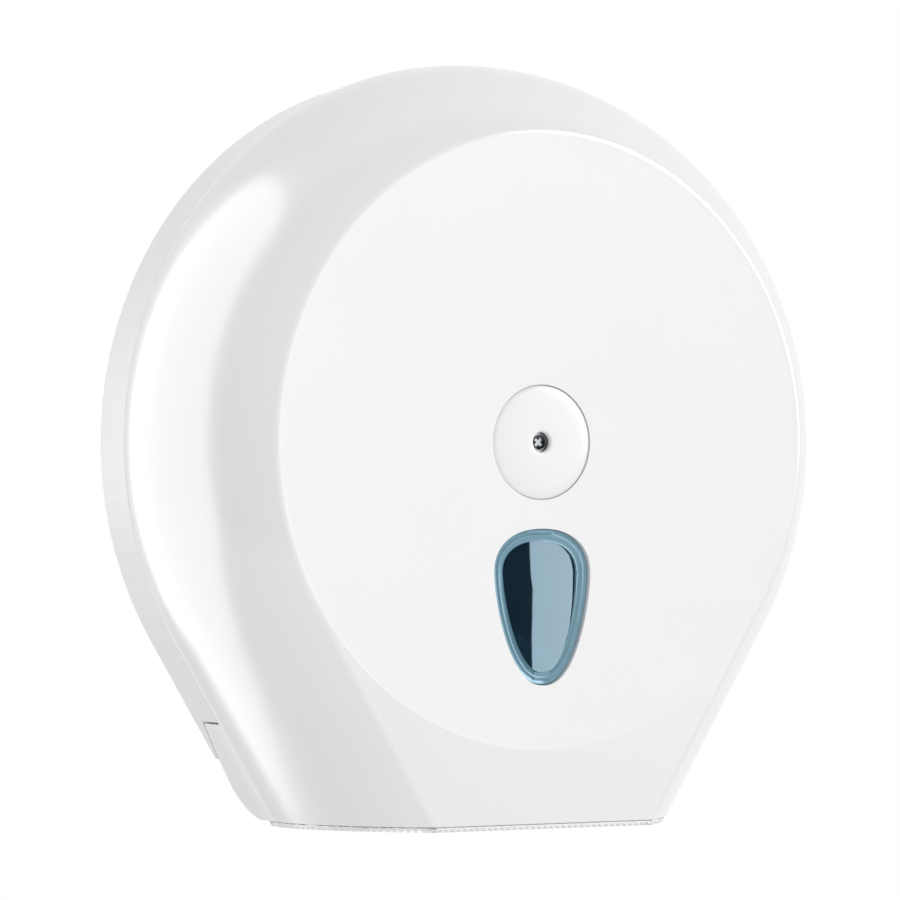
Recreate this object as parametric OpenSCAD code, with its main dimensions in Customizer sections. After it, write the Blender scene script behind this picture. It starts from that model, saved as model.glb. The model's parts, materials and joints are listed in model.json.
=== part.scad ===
// Jumbo toilet roll dispenser: wall plate, swing-down cover with a level window and a key lock,
// and a turning hub for the roll. Millimetres, X right, Y into the wall, Z up.
// The origin lies on the wall, on the spindle's axis. Depth is counted from the wall to the front.

/* [Overall] */
// Depth from the wall to the rim of the front disc
depth = 112; // [104:1:135]
// Depth of the wall plate's rim, where the cover begins
seam_depth = 28; // [24:1:32]
// Radius of the wall plate's outline on the wall
plate_r = 175; // [170:0.5:176]
// Radius of the cover at the seam
seam_r = 178; // [177:0.5:179]
// Largest radius of the cover
bulge_r = 179.5; // [179:0.5:216]
// Depth at which the cover is widest
bulge_depth = 38; // [34:1:46]
// Radius of the front disc
front_r = 145.5; // [130:0.5:152]
// Part of the shoulder's drop that falls close to the front disc
edge_drop = 4.5; // [2:0.5:8]
// Lean of the lower sides from upright, in degrees
side_angle = 32; // [29:0.5:34]
// Distance from the spindle's axis down to the cover's lower edge
floor_drop = 178; // [170:1:184]
// Depth of the hollow of the front disc at its middle
dish_depth = 3; // [1:0.25:5]

/* [Walls] */
// Wall of the cover
cover_wall = 2.8; // [2.2:0.1:3.4]
// Wall of the wall plate
plate_wall = 3; // [2.4:0.1:3.6]
// Gap along the seam between the plate's rim and the cover
seam_gap = 0.5; // [0.4:0.1:1]
// Height of the lip that reaches from the rim into the cover
lip_h = 5; // [3:0.5:7]
// Wall of that lip
lip_wall = 2; // [1.6:0.1:2.6]
// Gap between the lip and the cover around it
lip_gap = 0.8; // [0.6:0.1:1.2]

/* [Wall screws] */
// Distance between the wall screws, across and up
wall_spacing = 150; // [120:5:160]
// Radius of a wall screw's hole
wall_hole_r = 2.75; // [2:0.25:3.5]

/* [Hinge] */
// Depth of the hinge's axis
pivot_depth = 16; // [14:0.5:18]
// Distance from the wall that the skirt keeps while it turns
wall_gap = 0.8; // [0.5:0.1:1.5]
// Radius of a hinge pin
hinge_pin_r = 2.5; // [2:0.25:3]
// Radial clearance of a hinge pin in the cover
hinge_play = 0.06; // [0.02:0.01:0.1]
// Outer face of a hinge ear, from the middle
ear_x = 91; // [80:1:92]
// Thickness of a hinge ear
ear_t = 7; // [5:0.5:9]
// Height below the axis at which the plate's rim ends and the skirt begins
notch_drop = 131.5; // [126:0.5:136]

/* [Spindle and hub] */
// Radius of the fixed post
post_r = 15; // [12.5:0.5:16]
// Wall of the fixed post
post_wall = 4; // [3:0.25:4.5]
// Radius of the post's foot
foot_r = 30; // [27:0.5:34]
// Thickness of the post's foot
foot_t = 3.5; // [3:0.25:5]
// Radial clearance of the hub on the post
hub_play = 0.08; // [0.03:0.01:0.1]
// Radius of the hub, for narrow cores
hub_r = 21.5; // [18:0.5:22]
// Radius of the hub's flange
flange_r = 55; // [45:1:60]
// Thickness of the hub's flange
flange_t = 3; // [2:0.25:4]
// Radius of the sleeve, for wide cores
adapter_r = 29.5; // [26:0.5:34]
// Length of the sleeve
adapter_l = 56; // [40:1:66]
// Wall of the sleeve
adapter_wall = 2; // [1.6:0.1:2.6]

/* [Lock] */
// Radius of the round lock plate
lock_r = 26.5; // [24:0.5:27.5]
// Gap around the lock plate
lock_gap = 0.5; // [0.3:0.1:0.8]
// Thickness of the lock plate
lock_t = 2.1; // [1.8:0.1:2.6]
// Height by which the lock plate stands proud
lock_proud = 0.4; // [0:0.1:0.8]
// Radius of the key hole
key_r = 4.6; // [4:0.1:5]
// Radius of the turning barrel
barrel_r = 6; // [5.5:0.1:7]
// Radial clearance of the barrel
barrel_play = 0.05; // [0.02:0.01:0.1]
// Radius of the barrel's tail
tail_r = 2.2; // [2:0.1:2.4]
// Length of the cam, tip to tip
cam_l = 15; // [13:0.5:16]
// Width of the cam
cam_w = 4.6; // [4.5:0.1:5.4]
// Thickness of the cam
cam_t = 3; // [2.5:0.1:3.5]
// Gap between the cam and the striker
cam_gap = 0.6; // [0.4:0.1:0.8]

/* [Window] */
// Width of the window
window_w = 53.4; // [44:0.2:56]
// Height of the window above its widest level
window_up = 21; // [19:0.5:23]
// Height of the window below its widest level
window_down = 52.3; // [45:0.5:56]
// Distance from the spindle's axis down to the window's widest level
window_drop = 61.1; // [60:0.1:64]
// Thickness of the lens
lens_t = 1.8; // [1.4:0.1:2.2]
// Depth of the lens's face behind the disc's surface
lens_sunk = 1.6; // [1:0.1:2.2]
// Width of the flange around the lens
lens_flange = 4; // [3:0.5:5]

/* [Tear strip] */
// Distance between two teeth
tooth_pitch = 3.4; // [2.6:0.1:4.2]
// Height of a tooth
tooth_h = 1.6; // [1.2:0.1:2.4]
// Thickness of the strip's leg inside the cover
strip_t = 1.6; // [1.2:0.1:2.2]
// Height of the strip's leg inside the cover
strip_leg = 9; // [7:0.5:12]
// Height of the strip's foot under the cover's edge
strip_foot = 0.9; // [0.6:0.1:1.4]

/* [Hidden] */
$fn = 96;
turn_fn = 72;
arc_steps = 64;
far = 400;
eps = 0.01;
slack = 0.05;
below = -floor_drop - 12;

// Outline of the cover and of the wall plate
profile_steps = 14;
cover_depths = concat([0, seam_depth],
    [for (i = [1 : profile_steps]) seam_depth + (depth - seam_depth) * i / profile_steps]);
function shoulder(d) = (d - bulge_depth) / (depth - bulge_depth);
function rim_radius(d) = plate_r + (seam_r - plate_r) * d / seam_depth;
function bulge_radius(d) = bulge_r
    - (bulge_r - seam_r) * pow((bulge_depth - d) / (bulge_depth - seam_depth), 2);
function shoulder_radius(d) = bulge_r - (bulge_r - front_r - edge_drop) * pow(shoulder(d), 2)
    - edge_drop * pow(shoulder(d), 6);
function cover_radius(d) = d <= seam_depth ? rim_radius(d)
    : d < bulge_depth ? bulge_radius(d) : shoulder_radius(d);
function cover_slope(d) = (cover_radius(d) - cover_radius(d - 0.2)) / 0.2;
function inset_point(d, w) = let (s = d < seam_depth + 1 ? 0 : cover_slope(d), k = sqrt(1 + s * s))
    [cover_radius(d) - w / k, min(d + w * s / k, depth - w)];
function inset_profile(w, front) = concat([[0, -1], [rim_radius(0) - w, -1]],
    [for (d = cover_depths) if (d > 0) inset_point(d, w)], [[0, front]]);
cover_profile = concat([[0, 0]], [for (d = cover_depths) [cover_radius(d), d]], [[0, depth]]);
cavity_profile = inset_profile(cover_wall, depth - cover_wall);

// Hollow front disc
dish_r = front_r - 0.6;
dish_steps = 5;
function dish(r) = dish_depth * (1 - pow(r / dish_r, 2));
function dish_curve(back) = [for (i = [0 : dish_steps]) let (r = dish_r * i / dish_steps)
    [r, depth - back - dish(r)]];
front_out = depth - dish_depth;
front_in = front_out - cover_wall;

// Wall plate
lip_r = seam_r - cover_wall - lip_gap;
plate_cavity_r = lip_r - lip_wall;
lip_floor = -notch_drop + 13;
boss_top = plate_wall + 3;
boss_r = foot_r + 2;
rib_top = plate_wall + 4;
rib_t = 2;
rib_count = 12;
screw_boss_r = 7;
screw_boss_top = plate_wall + 2.5;

// Hinge
skirt_r = pivot_depth - wall_gap;
pivot_drop = floor_drop - skirt_r;
rim_low = -notch_drop + 0.4;
skirt_top = -notch_drop - 0.6;
plate_low = -notch_drop - 18;
flange_high_depth = 9.2;
flange_low_depth = plate_wall - 0.1;
skirt_high_depth = flange_high_depth + 0.8;
skirt_low_depth = plate_wall + 0.8;
tongue_low = -pivot_drop - 9;
ear_r = 7;
hinge_boss_r = 6;
hinge_boss_x = ear_x + 0.6;
hinge_boss_l = 13;
pin_reach = 11;
pin_head_r = 4;
pin_head_t = 2;

// Spindle and hub, counted from the wall
foot_top = boss_top + foot_t;
post_screw_pcd = 46;
post_screw_r = 1.75;
post_screw_head_r = 3.6;
post_screw_head_h = 2;
washer_t = 1;
washer_r = 26;
hub_bottom = foot_top + washer_t + 0.3;
flange_top = hub_bottom + flange_t;
post_bore_r = post_r - post_wall;
hub_wall = 3;
hub_grips = 6;
grip_w = 4;
grip_h = 0.9;
adapter_bottom = flange_top + 0.4;
adapter_top = adapter_bottom + adapter_l;
adapter_webs = 8;

// Lock, counted back from the front disc's middle
lock_face = front_out + lock_proud;
lock_seat = lock_face - lock_t;
recess_floor = lock_seat - 0.1;
ring_back = front_in - 1.5;
ring_r = lock_r + 4.5;
neck_hole_r = 22;
neck_r = neck_hole_r - 0.2;
neck_wall = 3.2;
housing_r = neck_hole_r + 2.8;
housing_flange_r = lock_r + 2.5;
housing_front = ring_back - 0.1;
housing_floor = housing_front - 3.2;
housing_back = housing_floor - 2.8;
neck_end = housing_floor + 0.2;
collar_wall = 3;
barrel_face = lock_seat - 0.7;
barrel_flange_r = barrel_r + 2.2;
barrel_flange_back = housing_floor + 0.3;
barrel_flange_top = barrel_flange_back + 1.1;
collar_back = barrel_flange_top + 0.2;
spring_half = barrel_flange_r + 0.1;
spring_t = 0.6;
journal_r = 4;
journal_back = housing_back - 0.4;
mouth_r = 3.5;
mouth_depth = 3.4;
spigot_r = 2.3;
spigot_w = 1.5;
housing_screw_ring = 15.5;
housing_screw_r = 1.3;
housing_screw_head_r = 2.4;
housing_screw_head_h = 1.3;
housing_boss_r = 3;

// Striker and post tip, counted back from the lock
striker_front = housing_back - 2;
striker_t = 2;
striker_back = striker_front - striker_t;
post_top = striker_back - 0.1;
striker_skirt = 8.6;
striker_wall = 1.2;
cam_front = striker_back - cam_gap;
cam_back = cam_front - cam_t;
tail_back = cam_back - 0.1;
cam_screw_r = 0.9;
cam_screw_head_r = 2.1;
cam_screw_head_h = 1.3;
cam_screw_l = 5;
slot_w = cam_w + 1;
slot_high = cam_l / 2 + 0.6;
slot_low = cam_l / 2 + 3.2;
hub_top = post_top - 4.3;
groove_back = hub_top + 0.4;
groove_w = 1.7;
groove_deep = 1.3;
retainer_t = 1.5;
retainer_r = post_r + 3.5;

// Window, counted from the plane that touches the disc's hollow above and below the window
window_tilt = atan((dish(window_drop - window_up) - dish(window_drop + window_down))
    / (window_up + window_down));
lens_face = -lens_sunk;
lens_flange_front = -cover_wall - 0.1;
lens_flange_back = lens_flange_front - lens_t;
frame_t = 1.3;
frame_front = lens_flange_back - 0.1;
frame_back = frame_front - frame_t;
frame_in = 2.5;
frame_out = lens_flange + 1.5;
lens_screw_r = 1.1;
lens_screw_head_r = 2.2;
lens_screw_head_h = 1.2;
lens_boss_r = 3;
lens_boss_out = lens_flange + lens_boss_r + 1;
lens_screw_spots = [[window_w / 2 + lens_boss_out, -6], [-window_w / 2 - lens_boss_out, -6],
    [0, -window_down - lens_boss_out]];
function teardrop(grow) = [for (i = [0 : 63]) let (a = 360 * i / 64, s = sin(a), c = cos(a),
    high = s >= 0, reach = (high ? window_up : window_down) + grow)
    [(window_w / 2 + grow) * sign(c) * pow(abs(c), 2 / 2.25),
    reach * sign(s) * pow(abs(s), 2 / (high ? 2.3 : 1.55))]];

// Tear strip
strip_start = 24;
strip_corner = 3.5;
foot_top_z = -floor_drop - 0.1;
foot_low_z = foot_top_z - strip_foot;
tooth_low_z = foot_low_z - tooth_h;
strip_inset = 0.3;
strip_inner = cover_wall + 0.1;
function edge_x(d) = cover_radius(d) / cos(side_angle) - floor_drop * tan(side_angle);
function edge_slope(d) = cover_slope(d) / cos(side_angle);
side_teeth = [for (d = strip_start + tooth_pitch; d < depth - strip_corner;
    d = d + tooth_pitch / sqrt(1 + pow(edge_slope(d), 2))) d];
front_half = edge_x(depth) - strip_corner / 2;
front_teeth = floor(2 * front_half / tooth_pitch);
strip_screw_r = 1.1;
strip_screw_head_r = 2.4;
strip_screw_head_h = 1.2;
strip_screw_l = 1.6;
strip_screw_z = -floor_drop + 5.5;
strip_screw_spread = 42;
strip_screw_depth = 60;

// Lays a shape drawn in front view, with height as depth, onto the wall
module from_wall(d = 0) {
    rotate([90, 0, 0]) translate([0, 0, d]) children();
}

// Ring or disc about the spindle's axis, from one depth to another
module disc(r, back, front, bore = 0) {
    from_wall(back) difference() {
        cylinder(r = r, h = front - back);
        if (bore > 0) translate([0, 0, -eps]) cylinder(r = bore, h = front - back + 2 * eps);
    }
}

// Places a shape, drawn flat with its height outwards, on the disc at the window
module at_window(h = 0) {
    translate([0, dish(window_drop) - depth, -window_drop]) rotate([90 - window_tilt, 0, 0])
        translate([0, 0, h]) children();
}

// Straight bar across the width, drawn as depth and height
module along_x(x0, x1) {
    translate([(x0 + x1) / 2, 0, 0]) rotate([90, 0, -90]) linear_extrude(x1 - x0, center = true) children();
}

// Round pin along X between two places at one depth and height
module pin_x(r, x0, x1, d, z) {
    translate([x0, -d, z]) rotate([0, 90, 0]) cylinder(r = r, h = x1 - x0, $fn = 48);
}

// Outline with a round top, straight sides that leave it on its tangent lines, and a flat bottom
function outline(r, low) = let (edge = r / cos(side_angle) + low * tan(side_angle)) concat([[edge, low]],
    [for (i = [0 : arc_steps]) let (t = -side_angle + (180 + 2 * side_angle) * i / arc_steps)
        [r * cos(t), r * sin(t)]], [[-edge, low]]);

// Body that has this outline at every depth of a profile, given as radius and depth from the wall on
module form(profile, low) {
    rings = [for (p = profile) if (p[0] > 0) p];
    n = arc_steps + 3;
    m = len(rings);
    from_wall() polyhedron(
        [for (p = rings) for (q = outline(p[0], low)) [q[0], q[1], p[1]]],
        concat([[for (i = [0 : n - 1]) i], [for (i = [n - 1 : -1 : 0]) (m - 1) * n + i]],
            [for (j = [0 : m - 2], i = [0 : n - 1]) let (k = (i + 1) % n)
                [(j + 1) * n + i, (j + 1) * n + k, j * n + k]],
            [for (j = [0 : m - 2], i = [0 : n - 1]) let (k = (i + 1) % n)
                [(j + 1) * n + i, j * n + k, j * n + i]]));
}

// Keeps a smooth shell as triangles
module meshed() {
    resize([0, 0, 0]) children();
}

// Screw with a pan head whose seat lies at height 0 and whose shank points down
module pan_screw(r, l, head_r, head_h) {
    translate([0, 0, -l]) cylinder(r = r, h = l + eps, $fn = 32);
    difference() {
        cylinder(r = head_r, h = head_h, $fn = 48);
        translate([0, 0, head_h / 2 + 0.5]) cube([head_r * 1.3, head_r * 0.32, 1], center = true);
        translate([0, 0, head_h / 2 + 0.5]) cube([head_r * 0.32, head_r * 1.3, 1], center = true);
    }
}

// Side view of the wall plate, as depth and height
module plate_side() {
    polygon([[-1, far], [far, far], [far, lip_floor], [seam_depth, lip_floor], [seam_depth, rim_low],
        [flange_high_depth, rim_low], [flange_low_depth, plate_low], [-1, plate_low]]);
}

// Side view of the cover, as depth and height
module cover_side() {
    polygon([[seam_depth + seam_gap, far], [far, far], [far, -floor_drop], [pivot_depth, -floor_drop],
        [pivot_depth, -pivot_drop], [pivot_depth - skirt_r, -pivot_drop], [skirt_low_depth, plate_low],
        [skirt_high_depth, skirt_top], [seam_depth + seam_gap, skirt_top]]);
    translate([pivot_depth, -pivot_drop]) circle(r = skirt_r);
}

// Side view of a hinge ear
module ear_side() {
    translate([plate_wall - 1, tongue_low]) square([pivot_depth - plate_wall + 1, 2 * ear_r + 2]);
    translate([pivot_depth, -pivot_drop]) circle(r = ear_r);
}

module plate_bowl() {
    difference() {
        form([[0, 0], [plate_r, 0], [seam_r, seam_depth], [lip_r, seam_depth], [lip_r, seam_depth + lip_h],
            [0, seam_depth + lip_h]], plate_low);
        form([[0, plate_wall], [plate_cavity_r, plate_wall], [plate_cavity_r, far], [0, far]], below);
    }
}

module plate_ribs() {
    intersection() {
        form([[0, plate_wall - 1], [plate_cavity_r + 1, plate_wall - 1], [plate_cavity_r + 1, rib_top],
            [0, rib_top]], plate_low);
        from_wall() for (i = [0 : rib_count - 1]) rotate([0, 0, 360 * i / rib_count])
            translate([boss_r - 1, -rib_t / 2, plate_wall - 1]) cube([far / 2, rib_t, far]);
    }
}

module backplate() {
    color([0.93, 0.93, 0.94]) difference() {
        union() {
            meshed() intersection() {
                union() {
                    plate_bowl();
                    plate_ribs();
                }
                along_x(-far, far) plate_side();
            }
            translate([-ear_x, -plate_wall, tongue_low]) cube([2 * ear_x, plate_wall, plate_low - tongue_low + 6]);
            disc(boss_r, plate_wall - 1, boss_top);
            for (x = [-1, 1], z = [-1, 1]) translate([x * wall_spacing / 2, 0, z * wall_spacing / 2])
                disc(screw_boss_r, plate_wall - 1, screw_boss_top);
            for (side = [-1, 1]) along_x(side * (ear_x - ear_t / 2) - ear_t / 2, side * (ear_x - ear_t / 2)
                + ear_t / 2) ear_side();
        }
        for (x = [-1, 1], z = [-1, 1]) translate([x * wall_spacing / 2, 0, z * wall_spacing / 2])
            disc(wall_hole_r, -1, screw_boss_top + 1);
        for (side = [-1, 1]) pin_x(hinge_pin_r + slack, side * ear_x - 20, side * ear_x + 20, pivot_depth,
            -pivot_drop);
        from_wall() for (i = [0 : 3]) rotate([0, 0, 45 + 90 * i]) translate([post_screw_pcd / 2, 0, 1])
            cylinder(r = post_screw_r + slack, h = far, $fn = 32);
    }
}

module spindle_post() {
    color([0.62, 0.64, 0.67]) difference() {
        union() {
            disc(foot_r, boss_top, foot_top);
            disc(post_r, foot_top - 1, post_top);
        }
        disc(post_bore_r, boss_top + 2.5, far);
        from_wall(groove_back) difference() {
            cylinder(r = post_r + 1, h = groove_w);
            translate([0, 0, -1]) cylinder(r = post_r - groove_deep, h = groove_w + 2);
        }
        from_wall() for (i = [0 : 3]) rotate([0, 0, 45 + 90 * i]) translate([post_screw_pcd / 2, 0, 0]) {
            cylinder(r = post_screw_r + slack, h = far, $fn = 32);
            translate([0, 0, foot_top - post_screw_head_h - 0.2]) cylinder(r = post_screw_head_r + 0.2, h = far);
        }
    }
}

module spindle_screws() {
    color([0.75, 0.76, 0.78]) from_wall(foot_top - post_screw_head_h - 0.2) for (i = [0 : 3])
        rotate([0, 0, 45 + 90 * i]) translate([post_screw_pcd / 2, 0, 0])
            pan_screw(post_screw_r, foot_top - post_screw_head_h - 1.6, post_screw_head_r, post_screw_head_h);
}

module brake_washer() {
    color([0.16, 0.16, 0.17]) disc(washer_r, foot_top, foot_top + washer_t, post_r + slack);
}

module roll_hub() {
    color([0.55, 0.58, 0.62]) difference() {
        union() {
            disc(flange_r, hub_bottom, flange_top);
            disc(hub_r, hub_bottom, hub_top - 3);
            disc(hub_r - 1.5, hub_bottom, hub_top);
            from_wall(adapter_top + 1) for (i = [0 : hub_grips - 1]) rotate([0, 0, 360 * i / hub_grips])
                translate([hub_r - 1, -grip_w / 2, 0]) cube([1 + grip_h, grip_w, hub_top - 5 - adapter_top]);
        }
        disc(post_r + hub_play, hub_bottom - 1, hub_top + 1);
        from_wall(flange_top) difference() {
            cylinder(r = hub_r - 1.8, h = hub_top - flange_top - 6);
            translate([0, 0, -1]) cylinder(r = post_r + hub_play + hub_wall, h = far);
        }
    }
}

module core_adapter() {
    color([0.80, 0.82, 0.84]) {
        disc(hub_r + slack + adapter_wall, adapter_bottom, adapter_top, hub_r + slack);
        disc(adapter_r, adapter_bottom, adapter_top, adapter_r - adapter_wall);
        disc(adapter_r, adapter_bottom, adapter_bottom + 2, hub_r + slack);
        from_wall(adapter_bottom) for (i = [0 : adapter_webs - 1]) rotate([0, 0, 360 * i / adapter_webs])
            translate([hub_r + slack + adapter_wall / 2, -0.8, 0])
                cube([adapter_r - hub_r - adapter_wall - slack, 1.6, adapter_l]);
    }
}

module hub_retainer() {
    color([0.70, 0.71, 0.73]) from_wall(groove_back + 0.1) difference() {
        cylinder(r = retainer_r, h = retainer_t);
        translate([0, 0, -1]) cylinder(r = post_r - groove_deep + slack, h = retainer_t + 2);
        translate([-4, 0, -1]) cube([8, far, retainer_t + 2]);
    }
}

module lock_striker() {
    color([0.72, 0.73, 0.75]) difference() {
        union() {
            disc(post_r - 0.1, striker_back, striker_front);
            disc(post_bore_r - slack, striker_back - striker_skirt, striker_back + 1, post_bore_r - striker_wall);
        }
        translate([-slot_w / 2, -striker_front - 1, -slot_low]) cube([slot_w, striker_t + 2, slot_low + slot_high]);
    }
}

// Steel pin from inside the ear into the cover's boss
module hinge_pin() {
    pin_x(hinge_pin_r, ear_x - ear_t - 1, hinge_boss_x + pin_reach, pivot_depth, -pivot_drop);
    pin_x(pin_head_r, ear_x - ear_t - 0.1 - pin_head_t, ear_x - ear_t - 0.1, pivot_depth, -pivot_drop);
}

module hinge_pin_right() {
    color([0.78, 0.79, 0.80]) hinge_pin();
}

module hinge_pin_left() {
    color([0.78, 0.79, 0.80]) mirror([1, 0, 0]) hinge_pin();
}

// Hollow of the front disc, moved back by a wall for the inner side
module dish_turn(back) {
    from_wall() rotate_extrude($fn = turn_fn) polygon(concat(dish_curve(back), [[dish_r, depth + 5],
        [0, depth + 5]]));
}

module cover_cavity() {
    difference() {
        form(cavity_profile, below);
        dish_turn(cover_wall);
    }
}

module cover_bosses() {
    disc(ring_r, ring_back, front_in + 1);
    for (spot = lens_screw_spots) at_window(frame_front + 0.1) translate([spot[0], spot[1], 0])
        cylinder(r = lens_boss_r, h = -frame_front - cover_wall + 0.6);
    for (side = [-1, 1]) pin_x(hinge_boss_r, side * (hinge_boss_x + hinge_boss_l / 2) - hinge_boss_l / 2,
        side * (hinge_boss_x + hinge_boss_l / 2) + hinge_boss_l / 2, pivot_depth, -pivot_drop);
}

module cover_shell() {
    color([0.95, 0.95, 0.95]) difference() {
        union() {
            meshed() intersection() {
                difference() {
                    form(cover_profile, -floor_drop);
                    cover_cavity();
                    dish_turn(0);
                }
                along_x(-far, far) cover_side();
            }
            cover_bosses();
        }
        disc(lock_r + lock_gap, recess_floor, far);
        disc(neck_hole_r, ring_back - 1, far);
        at_window(-20) linear_extrude(40) polygon(teardrop(0));
        for (spot = lens_screw_spots) at_window(frame_front) translate([spot[0], spot[1], 0])
            cylinder(r = lens_screw_r + slack, h = -frame_front - 1, $fn = 24);
        for (side = [-1, 1]) pin_x(hinge_pin_r + hinge_play, side * (hinge_boss_x + pin_reach / 2) - pin_reach / 2
            - 0.6, side * (hinge_boss_x + pin_reach / 2) + pin_reach / 2 + 0.6, pivot_depth, -pivot_drop);
        strip_screw_places() translate([0, 0, -5]) cylinder(r = strip_screw_r + slack, h = 5, $fn = 24);
    }
}

module window_lens() {
    color([0.30, 0.50, 0.62, 0.6]) difference() {
        at_window(lens_flange_back) {
            linear_extrude(lens_t) polygon(teardrop(lens_flange));
            linear_extrude(lens_face - lens_flange_back - 0.7) polygon(teardrop(-0.3));
            linear_extrude(lens_face - lens_flange_back) polygon(teardrop(-3.2));
        }
        at_window(lens_flange_back - 1) linear_extrude(lens_face - lens_flange_back + 1 - lens_t)
            polygon(teardrop(-5));
    }
}

module lens_frame() {
    color([0.88, 0.88, 0.89]) difference() {
        at_window(frame_back) {
            linear_extrude(frame_t) polygon(teardrop(frame_out));
            for (spot = lens_screw_spots) translate([spot[0], spot[1], 0])
                cylinder(r = lens_boss_r + 0.6, h = frame_t);
        }
        at_window(frame_back - 1) linear_extrude(frame_t + 2) polygon(teardrop(-frame_in));
        for (spot = lens_screw_spots) at_window(frame_back - 1) translate([spot[0], spot[1], 0])
            cylinder(r = lens_screw_r + slack, h = frame_t + 2, $fn = 24);
    }
}

module lens_screws() {
    color([0.75, 0.76, 0.78]) for (spot = lens_screw_spots) at_window(frame_back)
        translate([spot[0], spot[1], 0]) rotate([180, 0, 0]) pan_screw(lens_screw_r, -frame_back - 1.2,
            lens_screw_head_r, lens_screw_head_h);
}

module lock_plate() {
    color([0.95, 0.95, 0.95]) difference() {
        union() {
            disc(lock_r, lock_seat, lock_face);
            disc(neck_r, neck_end, lock_seat + 0.5, neck_r - neck_wall);
            disc(barrel_r + collar_wall, collar_back, lock_seat + 0.5);
            from_wall(neck_end) for (i = [0 : 2]) rotate([0, 0, 90 + 120 * i])
                translate([housing_screw_ring, 0, 0]) cylinder(r = housing_boss_r, h = lock_seat - neck_end + 0.5);
        }
        disc(barrel_r + barrel_play, collar_back - 1, lock_seat);
        disc(key_r, lock_seat - 1, lock_face + 1);
        from_wall(lock_face - 1.2) cylinder(r1 = key_r, r2 = key_r + 0.5, h = 1.2 + eps);
        from_wall(neck_end - 1) for (i = [0 : 2]) rotate([0, 0, 90 + 120 * i])
            translate([housing_screw_ring, 0, 0])
                cylinder(r = housing_screw_r + slack, h = lock_seat - neck_end, $fn = 24);
    }
}

module lock_housing() {
    color([0.85, 0.85, 0.86]) difference() {
        union() {
            disc(housing_flange_r, housing_front - 1.8, housing_front);
            disc(housing_r, housing_back, housing_front);
        }
        disc(neck_r + 0.3, housing_floor, housing_front + 1);
        disc(journal_r + barrel_play, housing_back - 1, housing_floor + 1);
        from_wall(housing_back - 1) for (i = [0 : 2]) rotate([0, 0, 90 + 120 * i])
            translate([housing_screw_ring, 0, 0]) cylinder(r = housing_screw_r + slack, h = 10, $fn = 24);
    }
}

module housing_screws() {
    color([0.75, 0.76, 0.78]) from_wall(housing_back) for (i = [0 : 2])
        rotate([0, 0, 90 + 120 * i]) translate([housing_screw_ring, 0, 0]) rotate([180, 0, 0])
            pan_screw(housing_screw_r, lock_seat - housing_back - 1.5, housing_screw_head_r,
                housing_screw_head_h);
}

module lock_barrel() {
    color([0.66, 0.67, 0.69]) {
        difference() {
            union() {
                disc(barrel_r, barrel_flange_back, barrel_face);
                disc(barrel_flange_r, barrel_flange_back, barrel_flange_top);
                disc(journal_r, journal_back, barrel_flange_back + 0.5);
                disc(tail_r, tail_back, journal_back + 0.5);
            }
            disc(mouth_r, barrel_face - mouth_depth, barrel_face + 1);
            disc(cam_screw_r + slack, tail_back - 1, tail_back + cam_screw_l);
            for (side = [-1, 1]) translate([side * (barrel_flange_r + 3.4) - 4, -barrel_flange_top - 1, -far / 2])
                cube([8, barrel_flange_top - barrel_flange_back + 0.9, far]);
        }
        from_wall(barrel_face - mouth_depth - 0.2) for (a = [0, 90]) rotate([0, 0, 45 + a])
            translate([-spigot_r, -spigot_w / 2, 0]) cube([2 * spigot_r, spigot_w, mouth_depth - 0.6]);
    }
}

module lock_cam() {
    color([0.74, 0.75, 0.77]) from_wall(cam_back) difference() {
        intersection() {
            translate([-cam_w / 2, -cam_l / 2, 0]) cube([cam_w, cam_l, cam_t]);
            cylinder(r = cam_l / 2, h = cam_t);
        }
        translate([0, 0, -1]) cylinder(r = tail_r + 0.02, h = cam_t + 2, $fn = 48);
    }
}

module cam_screw() {
    color([0.75, 0.76, 0.78]) translate([0, -tail_back + 0.05, 0]) rotate([-90, 0, 0])
        pan_screw(cam_screw_r, cam_screw_l - 0.3, cam_screw_head_r, cam_screw_head_h);
}

// Spring wire bent to a U around the barrel's flange, whose flats click against its legs
module detent_spring() {
    color([0.78, 0.79, 0.80]) from_wall(housing_floor + slack) linear_extrude(collar_back - housing_floor - 0.15)
        difference() {
            translate([-spring_half - spring_t, -spring_half - spring_t])
                square([2 * (spring_half + spring_t), 2 * spring_half]);
            translate([-spring_half, -spring_half]) square([2 * spring_half, far]);
        }
}

// Band along the lower edge, inset from the outer face, from one height to another
module edge_band(outer, inner, low, high) {
    intersection() {
        difference() {
            form(inset_profile(outer, depth - outer), low);
            form(inset_profile(inner, depth - inner), below);
        }
        translate([-far / 2, -far, low]) cube([far, far - strip_start, high - low]);
    }
}

// Wedges between the teeth, along the sides and the front
module tooth_gaps() {
    module wedge() {
        rotate([90, 0, 90]) linear_extrude(16, center = true)
            polygon([[-tooth_pitch / 2, -tooth_h - 1], [-tooth_pitch / 2 + 0.15, -tooth_h], [0, 0],
                [tooth_pitch / 2 - 0.15, -tooth_h], [tooth_pitch / 2, -tooth_h - 1]]);
    }
    for (side = [-1, 1], d = side_teeth)
        translate([side * (edge_x(d) - cover_wall / 2), -d, foot_low_z])
            rotate([0, 0, side * atan(edge_slope(d))]) wedge();
    for (i = [0 : front_teeth])
        translate([(i - front_teeth / 2) * tooth_pitch, -depth + cover_wall / 2, foot_low_z])
            rotate([0, 0, 90]) wedge();
}

module tear_strip() {
    color([0.95, 0.95, 0.95]) meshed() difference() {
        union() {
            edge_band(strip_inset, strip_inner + strip_t, tooth_low_z, foot_top_z);
            edge_band(strip_inner, strip_inner + strip_t, foot_top_z - 0.2, -floor_drop + strip_leg);
        }
        tooth_gaps();
        strip_screw_places() translate([0, 0, -5]) cylinder(r = strip_screw_r + slack, h = 10, $fn = 24);
    }
}

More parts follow.
